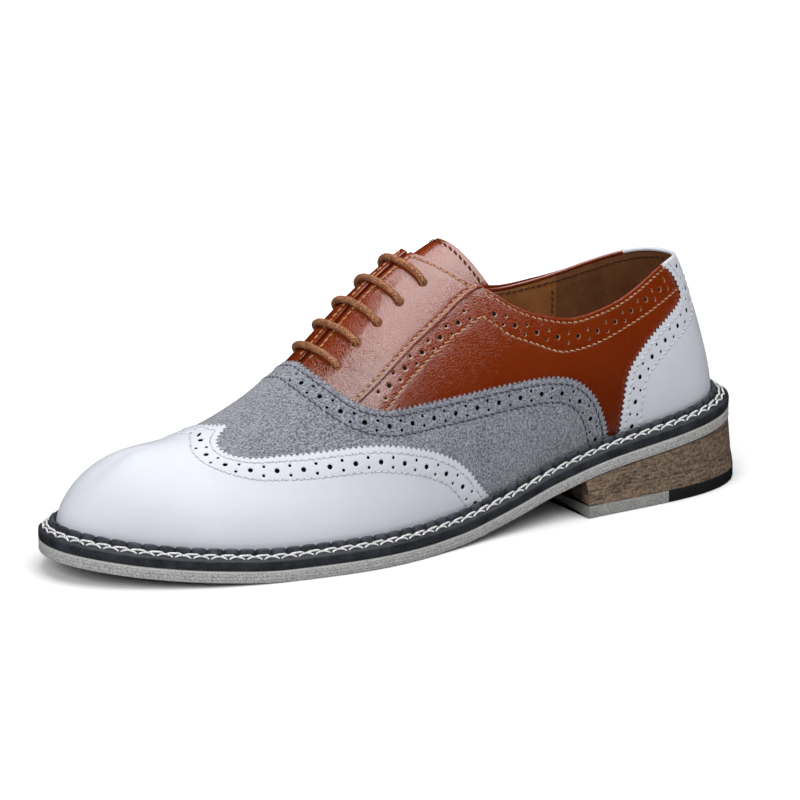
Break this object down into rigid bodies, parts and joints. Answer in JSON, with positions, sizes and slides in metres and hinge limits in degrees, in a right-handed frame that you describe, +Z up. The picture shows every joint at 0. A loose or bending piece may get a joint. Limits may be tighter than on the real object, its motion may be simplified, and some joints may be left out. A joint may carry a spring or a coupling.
{
  "type": "wing-tip oxford shoe",
  "caption": "Left low lace-up leather shoe with a wing-shaped toe cap, contrast panels, punched pinked edges, a stitched storm welt and a stacked low heel",
  "frame": {"origin": "middle of the shoe's plan on the floor, under the middle of its bounding box", "axes": "+X along the shoe to the toe, +Y to the wearer's left, the outer side of this left shoe, +Z up"},
  "size_m": [0.3012, 0.102, 0.1096],
  "materials": {
    "tan_leather": "polished red-brown calf leather",
    "grey_suede": "napped blue-grey suede",
    "white_leather": "smooth white leather",
    "lining_leather": "natural lining leather",
    "welt_leather": "black-stained edge",
    "sole_edge": "light grey, layered",
    "stacked_heel": "stacked brown leather",
    "lift_black": "black top piece",
    "lift_grey": "grey top piece",
    "lace_cord": "waxed round cord"
  },
  "bodies": {
    "root": {"outsole": "sole_edge", "welt": "welt_leather", "insole": "lining_leather", "heel_stack": "stacked_heel", "heel_lift_front": "lift_grey", "heel_lift_rear": "lift_black", "upper": "tan_leather", "wing_cap": "white_leather", "vamp": "grey_suede", "heel_counter": "white_leather", "facing_lateral": "tan_leather", "facing_medial": "tan_leather", "tongue": "tan_leather", "lace_bar_1": "lace_cord", "lace_bar_2": "lace_cord", "lace_bar_3": "lace_cord", "lace_bar_4": "lace_cord", "lace_bar_5": "lace_cord"}
  },
  "joints": []
}
